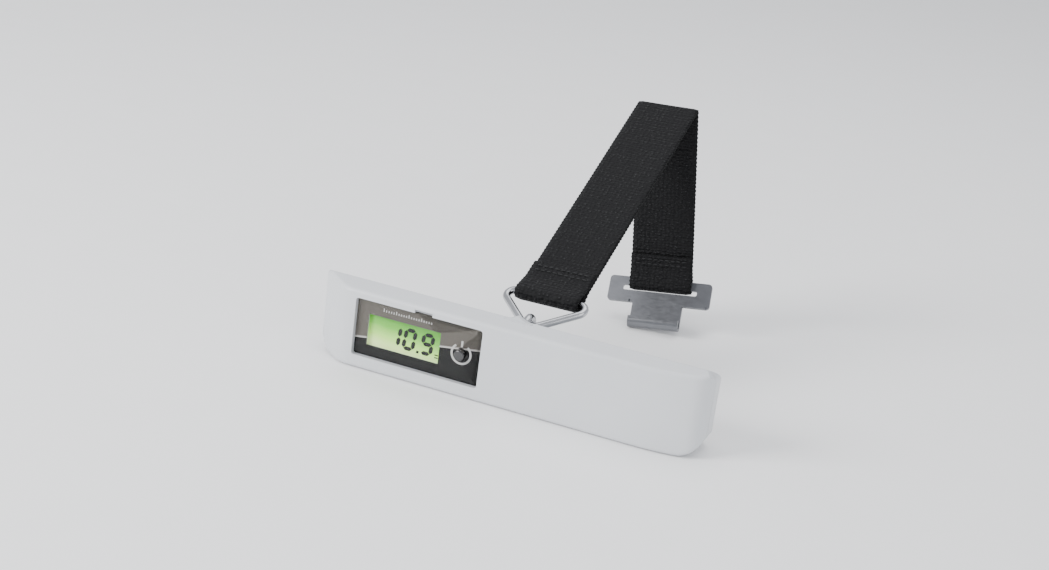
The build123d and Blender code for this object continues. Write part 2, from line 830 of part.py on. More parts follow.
with BuildPart() as battery_cover:
    add(in_casing(0, pocket_depth - 1, 2 * rear_depth))
    add(casing_form(wall), mode=Mode.SUBTRACT)
    with BuildSketch(facing_rear(pocket_depth - 1)):
        with Locations(at([battery_centre])):
            Rectangle(cover_length, cover_height)
    extrude(amount=2 * rear_depth, mode=Mode.INTERSECT)
save("battery_cover", battery_cover)

with BuildPart() as battery_pad:
    add(in_casing(wall, battery_back + pad_gap, 2 * rear_depth))
    with BuildSketch(facing_rear(battery_back)):
        with Locations(at([battery_centre])):
            Circle(pad_diameter / 2)
    extrude(amount=2 * rear_depth, mode=Mode.INTERSECT)
save("battery_pad", battery_pad)

# ================================================================ casing screws
with BuildPart() as case_screws:
    with BuildSketch(facing_rear(case_screw_seat)):
        with Locations(at(case_screws_at)):
            Circle(case_screw_head / 2)
    extrude(amount=case_screw_head_height)
    with BuildSketch(facing_rear(-case_screw_reach)):
        with Locations(at(case_screws_at)):
            Circle(case_screw_wire / 2)
    extrude(amount=case_screw_reach + case_screw_seat)
    with BuildSketch(facing_rear(case_screw_seat + case_screw_head_height - 0.8)):
        with Locations(at(case_screws_at)):
            Rectangle(2.2, 0.6)
            Rectangle(0.6, 2.2)
    extrude(amount=1, mode=Mode.SUBTRACT)
save("case_screws", case_screws)

# ================================================================ triangular ring
corner_across = ring_width / 2 - ring_wire / 2 - ring_corner_radius
corner_up = ring_reach - ring_corner_radius - ring_vertex_radius
leg_angle = atan2(corner_across, corner_up) - asin(
    (ring_vertex_radius - ring_corner_radius) / hypot(corner_across, corner_up)
)
vertex_drop = ring_vertex_radius / sin(leg_angle) - ring_vertex_radius
corner_half = (ring_reach + vertex_drop) * tan(leg_angle)
ring_plane = Plane(origin=eye_centre, x_dir=across, z_dir=across.cross(ring_dir))

with BuildSketch(ring_plane) as ring_outline:
    with BuildLine():
        Polyline((0, -vertex_drop), (corner_half, ring_reach), (-corner_half, ring_reach), close=True)
    make_face()
    fillet(ring_outline.vertices().group_by(Axis.Y)[-1], ring_corner_radius)
    fillet(ring_outline.vertices().group_by(Axis.Y)[0], ring_vertex_radius)

ring_path = ring_outline.sketch.wires()[0]
with BuildPart() as triangle_ring:
    with BuildSketch(Plane(origin=ring_path @ 0, z_dir=ring_path % 0)):
        Circle(ring_wire / 2)
    sweep(path=ring_path)
save("triangle_ring", triangle_ring)

# ================================================================ strap
lower_loop = ring_wire / 2 + strap_loop_clearance
upper_loop = hypot(clip_bar, clip_sheet) / 2 + clip_loop_clearance


def strap_end(plane, inner_radius, hem):
    """Loop round a bar at the plane's origin, sewn double for the hem along the plane's X."""
    outer_radius = inner_radius + strap_thickness
    with BuildPart() as end:
        with BuildSketch(plane.offset(-strap_width / 2)):
            Circle(outer_radius)
            with BuildLine():
                Polyline(
                    (0, outer_radius),
                    (hem_taper, strap_thickness),
                    (hem, strap_thickness),
                    (hem, -strap_thickness),
                    (hem_taper, -strap_thickness),
                    (0, -outer_radius),
                    close=True,
                )
            make_face()
            Circle(inner_radius, mode=Mode.SUBTRACT)
        extrude(amount=strap_width)
    return end.part


lower_plane = Plane(origin=bar_centre, x_dir=lower_dir, z_dir=across)
lower_reach = strap_lower_length - strap_fold_gap
with BuildPart() as strap_lower:
    add(strap_end(lower_plane, lower_loop, lower_hem))
    with BuildSketch(lower_plane.offset(-strap_width / 2)):
        with Locations(((lower_hem - hem_tuck + lower_reach) / 2, -strap_thickness / 2)):
            Rectangle(lower_reach - lower_hem + hem_tuck, strap_thickness)
    extrude(amount=strap_width)
save("strap_lower", strap_lower)

with BuildPart() as strap_upper:
    with BuildSketch(
        Plane(origin=fold_axis + upper_dir * strap_fold_gap, x_dir=upper_across, z_dir=upper_dir)
    ):
        with Locations((0, -strap_thickness / 2)):
            Rectangle(strap_width, strap_thickness)
    with BuildSketch(
        Plane(
            origin=clip_centre - upper_dir * (upper_hem - hem_tuck), x_dir=clip_across, z_dir=upper_dir
        )
    ):
        Rectangle(strap_width - 0.2, strap_thickness)
    loft()
    add(strap_end(Plane(origin=clip_centre, x_dir=-upper_dir, z_dir=clip_across), upper_loop, upper_hem))
save("strap_upper", strap_upper)

# ================================================================ strap clip
plate_top = clip_bar / 2
with BuildPart() as strap_clip:
    face_plane = Plane(origin=clip_centre, x_dir=clip_across, z_dir=clip_face)
    with BuildSketch(face_plane.offset(-clip_sheet / 2)) as plate:
        with Locations((0, plate_top - clip_ear_height / 2)):
            RectangleRounded(clip_width, clip_ear_height, clip_corner_radius)
        with Locations((0, -curl_drop / 2)):
            Rectangle(clip_tongue_width, curl_drop)
        with Locations((0, -plate_top - clip_slot_height / 2)):
            RectangleRounded(clip_slot_length, clip_slot_height, clip_slot_height * 0.35, mode=Mode.SUBTRACT)
    extrude(amount=clip_sheet)
    # turned edges under the ears
    flange_length = (clip_width - clip_tongue_width) / 2 - 2 * clip_corner_radius
    flange_x = (clip_width + clip_tongue_width) / 4
    with BuildSketch(face_plane.offset(-clip_sheet / 2)):
        with Locations(
            (flange_x, plate_top - clip_ear_height + clip_sheet / 2),
            (-flange_x, plate_top - clip_ear_height + clip_sheet / 2),
        ):
            Rectangle(flange_length, clip_sheet)
    extrude(amount=clip_flange)
    # curled lip at the lower end
    with BuildSketch(
        Plane(
            origin=clip_centre + curl_centre_from_bar, x_dir=clip_face, z_dir=clip_across
        ).offset(-clip_tongue_width / 2)
    ):
        Circle(clip_curl_radius)
        Circle(clip_curl_radius - clip_sheet, mode=Mode.SUBTRACT)
        with Locations((0, -clip_curl_radius)):
            Rectangle(3 * clip_curl_radius, 2 * clip_curl_radius, mode=Mode.SUBTRACT)
        with Locations((curl_mid, -clip_lip / 2)):
            Rectangle(clip_sheet, clip_lip)
    extrude(amount=clip_tongue_width)
save("strap_clip", strap_clip)
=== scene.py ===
"""Visual model of a digital luggage scale: casing, lit display, hook, ring, webbing strap and clip."""

import json
import logging
from dataclasses import dataclass, field
from enum import Enum
from math import cos, pi, radians, sin, sqrt

import bmesh
import bpy
from mathutils import Matrix, Vector

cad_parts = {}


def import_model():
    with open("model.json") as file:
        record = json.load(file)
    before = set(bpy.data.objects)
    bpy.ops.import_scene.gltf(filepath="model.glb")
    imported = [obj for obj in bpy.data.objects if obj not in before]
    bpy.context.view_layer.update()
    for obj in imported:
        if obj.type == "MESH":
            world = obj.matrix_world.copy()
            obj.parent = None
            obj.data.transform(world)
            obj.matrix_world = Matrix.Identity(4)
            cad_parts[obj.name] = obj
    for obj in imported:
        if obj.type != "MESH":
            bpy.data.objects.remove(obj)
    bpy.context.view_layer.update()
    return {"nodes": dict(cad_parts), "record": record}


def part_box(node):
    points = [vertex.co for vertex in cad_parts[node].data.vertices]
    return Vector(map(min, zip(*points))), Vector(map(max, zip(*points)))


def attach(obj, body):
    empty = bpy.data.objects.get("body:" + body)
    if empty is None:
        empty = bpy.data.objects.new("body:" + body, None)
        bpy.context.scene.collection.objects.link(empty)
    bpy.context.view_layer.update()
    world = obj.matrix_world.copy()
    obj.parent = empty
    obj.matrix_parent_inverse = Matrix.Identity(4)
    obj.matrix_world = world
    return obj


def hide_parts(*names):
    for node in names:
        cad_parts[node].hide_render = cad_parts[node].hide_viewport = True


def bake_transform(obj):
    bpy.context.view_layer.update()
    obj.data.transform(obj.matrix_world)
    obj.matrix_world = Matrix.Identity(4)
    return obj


LOG = logging.getLogger("luggage_scale")
MM = 0.001
Colour = tuple[float, float, float]


class Body(str, Enum):
    """The rigid bodies that visible pieces ride on."""

    CASING = "casing"
    STRAP_LOW = "strap_low"
    STRAP_UP = "strap_up"


# ---------------------------------------------------------------- node graphs
class Graph:
    """A material's node tree with short ways to add and join nodes."""

    def __init__(self, name: str) -> None:
        """Makes an empty material with a surface shader.

        Args:
            name: The material's name.
        """
        self.material = bpy.data.materials.new(name)
        self.material.use_nodes = True
        self.tree = self.material.node_tree
        self.shader = next(n for n in self.tree.nodes if n.type == "BSDF_PRINCIPLED")

    def node(self, kind: str, **settings: object) -> bpy.types.Node:
        """Adds a node.

        Args:
            kind: The node's type name, without its ShaderNode prefix.
            settings: Properties set on the node.

        Returns:
            The new node.
        """
        made = self.tree.nodes.new("ShaderNode" + kind)
        for key, value in settings.items():
            setattr(made, key, value)
        return made

    def join(self, source: bpy.types.NodeSocket, target: bpy.types.NodeSocket) -> None:
        """Links one socket to another."""
        self.tree.links.new(source, target)

    def set(self, **values: object) -> None:
        """Sets constant sockets of the shader, with spaces written as underscores."""
        for key, value in values.items():
            self.shader.inputs[key.replace("_", " ")].default_value = value

    def place(self) -> bpy.types.NodeSocket:
        """The socket with each point's place on the object, in metres."""
        return self.node("TexCoord").outputs["Object"]

    def scaled(self, source: bpy.types.NodeSocket, scale: Colour) -> bpy.types.NodeSocket:
        """A coordinate stretched by a factor along each axis.

        Args:
            source: The coordinate socket.
            scale: The three factors.

        Returns:
            The stretched coordinate socket.
        """
        mapping = self.node("Mapping")
        mapping.inputs["Scale"].default_value = scale
        self.join(source, mapping.inputs["Vector"])
        return mapping.outputs["Vector"]

    def noise(
        self, source: bpy.types.NodeSocket, scale: float, detail: float = 3.0
    ) -> bpy.types.NodeSocket:
        """Noise over a coordinate.

        Args:
            source: The coordinate socket.
            scale: Grains per metre.
            detail: Octaves of finer grain.

        Returns:
            The noise value socket.
        """
        noise = self.node("TexNoise")
        noise.inputs["Scale"].default_value = scale
        noise.inputs["Detail"].default_value = detail
        self.join(source, noise.inputs["Vector"])
        return noise.outputs["Fac"]

    def ramp(
        self, source: bpy.types.NodeSocket, stops: list[tuple[float, Colour]]
    ) -> bpy.types.NodeSocket:
        """Colours a value through stops.

        Args:
            source: The value socket.
            stops: Pairs of a place from 0 to 1 and a colour.

        Returns:
            The colour socket.
        """
        ramp = self.node("ValToRGB")
        elements = ramp.color_ramp.elements
        while len(elements) < len(stops):
            elements.new(0.5)
        for element, (spot, colour) in zip(elements, stops):
            element.position = spot
            element.color = (*colour, 1.0)
        self.join(source, ramp.inputs["Fac"])
        return ramp.outputs["Color"]

    def math(
        self, operation: str, a: bpy.types.NodeSocket, b: bpy.types.NodeSocket | float
    ) -> bpy.types.NodeSocket:
        """A sum on one or two values.

        Args:
            operation: The Math node's operation.
            a: The first value.
            b: The second value, a socket or a number.

        Returns:
            The result's socket.
        """
        node = self.node("Math", operation=operation)
        self.join(a, node.inputs[0])
        if isinstance(b, (int, float)):
            node.inputs[1].default_value = b
        else:
            self.join(b, node.inputs[1])
        return node.outputs[0]

    def split(self, source: bpy.types.NodeSocket) -> bpy.types.NodeOutputs:
        """The X, Y and Z sockets of a coordinate."""
        node = self.node("SeparateXYZ")
        self.join(source, node.inputs[0])
        return node.outputs

    def bump(self, height: bpy.types.NodeSocket, depth: float, strength: float = 1.0) -> None:
        """Raises the surface by a height.

        Args:
            height: The height socket, from 0 to 1.
            depth: The height of 1, in metres.
            strength: How much of it shows.
        """
        node = self.node("Bump")
        node.inputs["Distance"].default_value = depth
        node.inputs["Strength"].default_value = strength
        self.join(height, node.inputs["Height"])
        self.join(node.outputs["Normal"], self.shader.inputs["Normal"])

    def colour(self, source: bpy.types.NodeSocket) -> None:
        """Gives the shader its colour."""
        self.join(source, self.shader.inputs["Base Color"])

    def roughness(self, source: bpy.types.NodeSocket, low: float, high: float) -> None:
        """Spreads a value between two roughnesses.

        Args:
            source: The value socket, from 0 to 1.
            low: Roughness where the value is 0.
            high: Roughness where the value is 1.
        """
        spread = self.node("MapRange")
        spread.inputs["To Min"].default_value = low
        spread.inputs["To Max"].default_value = high
        self.join(source, spread.inputs["Value"])
        self.join(spread.outputs["Result"], self.shader.inputs["Roughness"])


def shade(colour: Colour, factor: float) -> Colour:
    """A colour made lighter or darker by a factor."""
    return tuple(min(1.0, c * factor) for c in colour)


# ---------------------------------------------------------------- finishes
@dataclass(frozen=True)
class Moulded:
    """Moulded plastic with a fine spark-eroded grain and slight clouding.

    Args:
        name: The material's name.
        colour: Its colour.
        rough: Its middle roughness.
        grain: Grains per metre.
        depth: Height of the grain in metres.
        coat: Weight of a clear gloss over it.
        cloud: How far the colour strays to each side, as a share.
    """

    name: str
    colour: Colour
    rough: float = 0.42
    grain: float = 2600.0
    depth: float = 0.00002
    coat: float = 0.0
    cloud: float = 0.04
    cloud_scale: float = 38.0
    rough_spread: float = 0.05

    def build(self) -> bpy.types.Material:
        """Makes the material."""
        g = Graph(self.name)
        place = g.place()
        clouds = g.noise(place, self.cloud_scale, 4.0)
        grain = g.noise(place, self.grain, 2.0)
        g.colour(
            g.ramp(
                clouds,
                [(0.3, shade(self.colour, 1 - self.cloud)), (0.7, shade(self.colour, 1 + self.cloud))],
            )
        )
        g.roughness(clouds, self.rough - self.rough_spread, self.rough + self.rough_spread)
        g.set(IOR=1.5, Coat_Weight=self.coat, Coat_Roughness=0.05)
        g.bump(grain, self.depth, 0.5)
        return g.material


@dataclass(frozen=True)
class Metal:
    """Metal with a drawn or rolled grain and faint handling marks.

    Args:
        name: The material's name.
        colour: Its colour.
        rough: Its middle roughness.
        stretch: Grain density along each axis, per metre.
        depth: Height of the grain in metres.
    """

    name: str
    colour: Colour
    rough: float = 0.3
    stretch: Colour = (250.0, 2500.0, 2500.0)
    depth: float = 0.000008
    mark_scale: float = 120.0
    rough_spread: float = 0.08

    def build(self) -> bpy.types.Material:
        """Makes the material."""
        g = Graph(self.name)
        place = g.place()
        lines = g.noise(g.scaled(place, self.stretch), 1.0, 3.0)
        marks = g.noise(place, self.mark_scale, 5.0)
        g.colour(g.ramp(marks, [(0.3, shade(self.colour, 0.88)), (0.7, shade(self.colour, 1.08))]))
        g.roughness(lines, max(self.rough - self.rough_spread, 0.03), self.rough + self.rough_spread)
        g.set(Metallic=1.0)
        g.bump(lines, self.depth, 0.4)
        return g.material


@dataclass(frozen=True)
class ClearAcrylic:
    """Clear window whose faint haze veils what lies behind it."""

    name: str = "clear_acrylic"
    veil: float = 0.03
    haze_scale: float = 90.0

    def build(self) -> bpy.types.Material:
        """Makes the material."""
        g = Graph(self.name)
        haze = g.noise(g.place(), self.haze_scale, 3.0)
        g.colour(g.ramp(haze, [(0.3, (0.03, 0.03, 0.03)), (0.7, (0.05, 0.05, 0.05))]))
        g.roughness(haze, 0.015, 0.05)
        g.set(IOR=1.46, Alpha=self.veil)
        return g.material


@dataclass(frozen=True)
class PrintedMask:
    """Two-tone print behind the window: warm grey over black, parted by a thin sloping line.

    Args:
        left: Height of the line at the window's left edge, in metres.
        slope: Rise of the line per metre along the casing.
        left_x: Place of the window's left edge, in metres.
        spread: Share of the colour ramp that one metre of height takes.
    """

    left: float
    slope: float
    left_x: float
    name: str = "printed_mask"
    spread: float = 50.0
    upper: Colour = (0.102, 0.092, 0.078)
    lower: Colour = (0.0035, 0.0035, 0.0035)
    line: Colour = (0.55, 0.53, 0.5)

    def build(self) -> bpy.types.Material:
        """Makes the material."""
        g = Graph(self.name)
        place = g.place()
        axes = g.split(place)
        run = g.math("MULTIPLY", g.math("SUBTRACT", axes["X"], self.left_x), -self.slope)
        above = g.math("ADD", g.math("SUBTRACT", axes["Z"], self.left), run)
        share = g.math("ADD", g.math("MULTIPLY", above, self.spread), 0.5)
        g.colour(
            g.ramp(
                share,
                [
                    (0.488, self.lower),
                    (0.494, self.line),
                    (0.506, self.line),
                    (0.53, self.upper),
                ],
            )
        )
        speck = g.noise(place, 4000.0, 2.0)
        g.roughness(speck, 0.35, 0.5)
        g.set(IOR=1.5, Coat_Weight=0.25, Coat_Roughness=0.03, Specular_IOR_Level=0.3)
        g.bump(speck, 0.000005, 0.4)
        return g.material


@dataclass(frozen=True)
class LitDisplay:
    """Back-lit display ground: green at the top, pale yellow-green at the lower left.

    Args:
        low: Height of the display's lower edge in metres.
        high: Height of its upper edge.
        strength: Brightness of the lamp behind it.
        middle_x: Place of the display's middle along the casing in metres.
        lean: How much greener each metre along the casing is.
    """

    low: float
    high: float
    strength: float = 0.6
    middle_x: float = -0.0392
    lean: float = 6.0
    name: str = "lit_display"

    def build(self) -> bpy.types.Material:
        """Makes the material."""
        g = Graph(self.name)
        place = g.place()
        axes = g.split(place)
        span = self.high - self.low
        share = g.math("MULTIPLY", g.math("SUBTRACT", axes["Z"], self.low), 1.0 / span)
        mottle = g.math("MULTIPLY", g.noise(place, 160.0, 2.0), 0.16)
        across = g.math("MULTIPLY", g.math("SUBTRACT", axes["X"], self.middle_x), self.lean)
        share = g.math("ADD", g.math("ADD", share, mottle), across)
        tint = g.ramp(
            share,
            [
                (0.0, (0.72, 0.92, 0.40)),
                (0.35, (0.44, 0.78, 0.16)),
                (0.7, (0.14, 0.46, 0.05)),
                (1.0, (0.08, 0.32, 0.03)),
            ],
        )
        g.colour(tint)
        g.join(tint, g.shader.inputs["Emission Color"])
        g.set(Emission_Strength=self.strength, IOR=1.5)
        g.roughness(mottle, 0.2, 0.3)
        return g.material


@dataclass(frozen=True)
class Webbing:
    """Coarse ribbed black webbing whose raised yarn tops carry a painted highlight, patchy with wear; its
    coordinates are millimetres of cloth.

    Args:
        name: The material's name.
        colour: The yarn's colour.
        highlight_and_wear: Colour of the painted highlight on the raised yarn tops, thinned out in patches
            by wear.
        rib: Width of one rib in millimetres.
    """

    name: str = "webbing"
    colour: Colour = (0.0025, 0.0025, 0.003)
    # Paler colour painted on the raised yarn tops as a highlight, partly real wear.
    highlight_and_wear: Colour = (0.055, 0.055, 0.058)
    rib: float = 1.7

    def build(self) -> bpy.types.Material:
        """Makes the material."""
        g = Graph(self.name)
        cloth = g.node("UVMap", uv_map="cloth").outputs["UV"]
        yarn = g.node("TexVoronoi", feature="F1")
        yarn.inputs["Scale"].default_value = 1.0
        yarn.inputs["Randomness"].default_value = 0.55
        g.join(g.scaled(cloth, (1.5 / self.rib, 0.6, 1.0)), yarn.inputs["Vector"])
        rise = yarn.outputs["Distance"]
        wear = g.noise(g.scaled(cloth, (0.9, 0.5, 1.0)), 1.0, 4.0)
        # Painted highlight: the raised yarn tops are coloured paler as if lit, in patches set by the wear
        # noise.
        highlight_and_wear = g.math("MULTIPLY", g.ramp(rise, [(0.0, (1, 1, 1)), (0.34, (0.0, 0.0, 0.0))]), wear)
        g.colour(
            g.ramp(
                highlight_and_wear,
                [(0.12, self.colour), (0.42, shade(self.highlight_and_wear, 0.45)), (0.6, self.highlight_and_wear)],
            )
        )
        g.roughness(wear, 0.62, 0.82)
        g.set(Sheen_Weight=0.02, Sheen_Roughness=0.4, Specular_IOR_Level=0.22)
        fall = g.ramp(rise, [(0.0, (1, 1, 1)), (0.75, (0, 0, 0))])
        g.bump(fall, 0.0006, 1.0)
        return g.material


# ---------------------------------------------------------------- mesh making
def make_object(
    name: str,
    verts: list[Vector],
    faces: list[tuple[int, ...]],
    material: bpy.types.Material,
    smooth: bool = True,
) -> bpy.types.Object:
    """Makes a mesh object in the row frame.

    Args:
        name: The piece's name.
        verts: Its points in metres.
        faces: Its faces, as point numbers.
        material: Its material.
        smooth: Whether faces shade smoothly.

    Returns:
        The object, linked to the scene.
    """
    mesh = bpy.data.meshes.new(name)
    mesh.from_pydata([tuple(v) for v in verts], [], faces)
    build = bmesh.new()
    build.from_mesh(mesh)
    bmesh.ops.recalc_face_normals(build, faces=build.faces)
    build.to_mesh(mesh)
    build.free()
    mesh.polygons.foreach_set("use_smooth", [smooth] * len(mesh.polygons))
    mesh.materials.append(material)
    made = bpy.data.objects.new(name, mesh)
    bpy.context.scene.collection.objects.link(made)
    return made


def prism(
    outline: list[tuple[float, float]], front: float, back: float, start: int
) -> tuple[list[Vector], list[tuple[int, ...]]]:
    """A flat shape in X and Z given a thickness in Y.

    Args:
        outline: The shape's corners (x, z) in millimetres.
        front: Depth of its front face in millimetres.
        back: Depth of its back face.
        start: Number of points already made.

    Returns:
        Points in metres and faces.
    """
    count = len(outline)
    verts = [Vector((x, y, z)) * MM for y in (front, back) for x, z in outline]
    faces = [tuple(start + i for i in range(count)), tuple(start + count + i for i in range(count))]
    for i in range(count):
        j = (i + 1) % count
        faces.append((start + i, start + j, start + count + j, start + count + i))
    return verts, faces


@dataclass
class Printed:
    """A set of flat printed or displayed shapes made as one thin piece."""

    name: str
    front: float
    thickness: float
    material: bpy.types.Material
    verts: list[Vector] = field(default_factory=list)
    faces: list[tuple[int, ...]] = field(default_factory=list)

    def add(self, outline: list[tuple[float, float]]) -> None:
        """Adds one closed shape, with corners (x, z) in millimetres."""
        verts, faces = prism(outline, self.front, self.front + self.thickness, len(self.verts))
        self.verts += verts
        self.faces += faces

    def finish(self, slot: str) -> bpy.types.Object:
        """Makes the piece and lets it ride on the casing.

        Args:
            slot: Not used.

        Returns:
            The object.
        """
        made = make_object(self.name, self.verts, self.faces, self.material, smooth=False)
        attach(made, Body.CASING.value)
        return made


# ---------------------------------------------------------------- casing
@dataclass
class Casing:
    """The two shells, the battery cover and the screws that close them."""

    plastic: Moulded = Moulded("casing_plastic", (0.60, 0.615, 0.635), rough=0.36, cloud=0.02)
    screw: Metal = Metal("screw_steel", (0.55, 0.55, 0.56), rough=0.35)

    def dress(self, nodes: dict[str, bpy.types.Object]) -> None:
        """Gives the casing's CAD nodes their finish.

        Args:
            nodes: The CAD nodes by name.
        """
        plastic = self.plastic.build()
        for name in ("front_shell", "rear_shell", "battery_cover"):
            paint(nodes[name], plastic)
        steel = self.screw.build()
        for name in ("case_screws", "board_screws", "cell_screws", "hook_nut", "hook_washer"):
            paint(nodes[name], steel)
        LOG.info("casing dressed")


def paint(node: bpy.types.Object, material: bpy.types.Material) -> None:
    """Puts one material in every slot of a CAD node."""
    if not node.material_slots:
        node.data.materials.append(material)
    for slot in node.material_slots:
        slot.material = material


# ---------------------------------------------------------------- display
SEGMENTS = {"0": "abcdef", "1": "bc", "9": "abcdfg"}


@dataclass
class Display:
    """The window, its print, the lit display with its digits, and the power button.

    Sizes are millimetres.
    """

    window: tuple[Vector, Vector]
    opening: tuple[float, float, float, float] = (-53.6, -24.8, 9.5, 21.4)
    digit_height: float = 8.7
    digit_width: float = 5.2
    stroke: float = 1.55
    slant: float = 0.12
    digit_base: float = 10.7
    digit_places: tuple[tuple[str, float], ...] = (("1", -46.4), ("0", -40.4), ("9", -33.3))
    symbol_x: float = -16.2
    symbol_z: float = 15.75
    symbol_radius: float = 3.7
    symbol_stroke: float = 0.75
    glass_front: float = -5.1
    ink_lift: float = 0.06
    ink_thickness: float = 0.04
    print_lift: float = 0.045
    print_thickness: float = 0.03
    line_left: float = 11.4
    line_rise: float = 7.3
    dot_size: float = 1.0
    bar_half: float = 0.38
    bar_reach: tuple[float, float] = (-1.1, 1.2)
    ring_angles: tuple[float, float] = (128.0, 412.0)
    ring_quads: int = 40
    tick_start: float = -48.0
    tick_base: float = 23.6
    tick_width: float = 0.35
    tick_count: int = 20
    tick_heights: tuple[float, float] = (1.3, 0.8)

    def segment(self, left: float, name: str) -> list[tuple[float, float]]:
        """Corners of one display segment.

        Args:
            left: Left edge of the digit's cell.
            name: The segment's letter, a to g.

        Returns:
            Its six corners (x, z).
        """
        w, h, s = self.digit_width - self.stroke, self.digit_height - self.stroke, self.stroke
        half = h / 2
        ends = {
            "a": ((0, h), (w, h)),
            "b": ((w, half), (w, h)),
            "c": ((w, 0), (w, half)),
            "d": ((0, 0), (w, 0)),
            "e": ((0, 0), (0, half)),
            "f": ((0, half), (0, h)),
            "g": ((0, half), (w, half)),
        }[name]
        (x0, z0), (x1, z1) = ends
        length = sqrt((x1 - x0) ** 2 + (z1 - z0) ** 2)
        ux, uz = (x1 - x0) / length, (z1 - z0) / length
        r, gap = s / 2, 0.12
        spots = [
            (gap, 0.0),
            (gap + r, r),
            (length - gap - r, r),
            (length - gap, 0.0),
            (length - gap - r, -r),
            (gap + r, -r),
        ]
        corners = []
        for along, side in spots:
            x = x0 + ux * along - uz * side
            z = z0 + uz * along + ux * side
            corners.append((left + s / 2 + x + z * self.slant, self.digit_base + s / 2 + z))
        return corners

    def ring_piece(self, start: float, end: float, steps: int) -> list[list[tuple[float, float]]]:
        """Quads of an open ring round the button.

        Args:
            start: First angle in degrees from +X.
            end: Last angle.
            steps: Number of quads.

        Returns:
            The quads' corners.
        """
        inner = self.symbol_radius - self.symbol_stroke / 2
        outer = self.symbol_radius + self.symbol_stroke / 2
        quads = []
        for i in range(steps):
            a = radians(start + (end - start) * i / steps)
            b = radians(start + (end - start) * (i + 1) / steps)
            quads.append(
                [
                    (self.symbol_x + r * cos(t), self.symbol_z + r * sin(t))
                    for r, t in ((inner, a), (outer, a), (outer, b), (inner, b))
                ]
            )
        return quads

    def build(self, nodes: dict[str, bpy.types.Object]) -> None:
        """Makes the digits and prints and dresses the display's CAD nodes.

        Args:
            nodes: The CAD nodes by name.
        """
        low, high = self.window
        paint(nodes["display_window"], ClearAcrylic().build())
        run = high.x - low.x
        mask = PrintedMask(left=self.line_left * MM, slope=self.line_rise * MM / run, left_x=low.x)
        paint(nodes["window_mask"], mask.build())
        lit = LitDisplay(low=self.opening[2] * MM, high=self.opening[3] * MM)
        paint(nodes["lcd_cell"], lit.build())

        ink = Moulded("segment_ink", (0.006, 0.008, 0.006), rough=0.4, grain=5000.0).build()
        digits = Printed("display_digits", self.glass_front - self.ink_lift, self.ink_thickness, ink)
        for mark, left in self.digit_places:
            for name in SEGMENTS[mark]:
                digits.add(self.segment(left, name))
        dot = self.digit_places[2][1] - 0.55
        base = self.digit_base
        size = self.dot_size
        left, right, lean = dot - size / 2, dot + size / 2, size * 0.1
        digits.add([(left, base), (right, base), (right + lean, base + size), (left + lean, base + size)])
        unit = self.opening[1] - 1.5
        for lift in (0.0, 1.0):
            digits.add(
                [
                    (unit - 0.7, base + lift),
                    (unit + 0.7, base + lift),
                    (unit + 0.7, base + lift + 0.45),
                    (unit - 0.7, base + lift + 0.45),
                ]
            )
        digits.finish("mask")

        pale = Moulded("symbol_print", (0.5, 0.5, 0.48), rough=0.5, grain=5000.0).build()
        printed_at = high.y / MM - self.print_lift
        symbol = Printed("power_symbol", printed_at, self.print_thickness, pale)
        for quad in self.ring_piece(*self.ring_angles, self.ring_quads):
            symbol.add(quad)
        bar, top = self.bar_half, self.symbol_z + self.symbol_radius
        bottom, peak = top + self.bar_reach[0], top + self.bar_reach[1]
        symbol.add(
            [
                (self.symbol_x - bar, bottom),
                (self.symbol_x + bar, bottom),
                (self.symbol_x + bar, peak),
                (self.symbol_x - bar, peak),
            ]
        )
        symbol.finish("moulding")

        ticks = Printed("scale_ticks", printed_at, self.print_thickness, pale)
        long, short = self.tick_heights
        for i in range(self.tick_count):
            x, right = self.tick_start + i, self.tick_start + i + self.tick_width
            low_z, high_z = self.tick_base, self.tick_base + (long if i % 5 == 0 else short)
            ticks.add([(x, low_z), (right, low_z), (right, high_z), (x, high_z)])
        ticks.finish("moulding")

        gloss = Moulded("button_gloss", (0.012, 0.012, 0.013), rough=0.16, depth=0.000002, coat=1.0)
        paint(nodes["power_button"], gloss.build())
        LOG.info("display built with %d digit points", len(digits.verts))


# ---------------------------------------------------------------- inner parts
@dataclass
class Inside:
    """The parts inside the casing."""

    finishes: tuple[tuple[object, tuple[str, ...]], ...] = (
        (Moulded("inner_moulding", (0.72, 0.72, 0.69), rough=0.5), ("lcd_frame", "light_guide")),
        (
            Moulded("black_moulding", (0.03, 0.03, 0.03), rough=0.45),
            ("switch_body", "switch_plunger", "window_tape"),
        ),
        (
            Moulded("black_resin", (0.015, 0.015, 0.015), rough=0.2, coat=0.6),
            ("controller_blob", "board_parts"),
        ),
        (Moulded("lamp_resin", (0.8, 0.85, 0.7), rough=0.15, coat=0.5), ("backlight_led",)),
        (Moulded("contact_rubber", (0.12, 0.12, 0.14), rough=0.7), ("zebra_strips",)),
        (Moulded("solder_mask", (0.02, 0.12, 0.05), rough=0.3, coat=0.4, cloud=0.15), ("circuit_board",)),
        (Moulded("gauge_foil", (0.55, 0.38, 0.13), rough=0.35), ("strain_gauges",)),
        (Moulded("lead_cover", (0.45, 0.03, 0.02), rough=0.4), ("gauge_leads",)),
        (Moulded("soft_foam", (0.04, 0.04, 0.045), rough=0.9, grain=1500.0, depth=0.0001), ("battery_pad",)),
        (Metal("machined_alloy", (0.72, 0.73, 0.74), rough=0.3), ("load_cell",)),
        (Metal("cell_can", (0.68, 0.68, 0.69), rough=0.25), ("battery_cell",)),
        (Metal("spring_strip", (0.75, 0.6, 0.3), rough=0.28), ("contact_plus", "contact_minus")),
    )

    def dress(self, nodes: dict[str, bpy.types.Object]) -> None:
        """Gives the inner CAD nodes their finishes.

        Args:
            nodes: The CAD nodes by name.
        """
        for finish, names in self.finishes:
            material = finish.build()
            for name in names:
                paint(nodes[name], material)
        LOG.info("inner parts dressed")


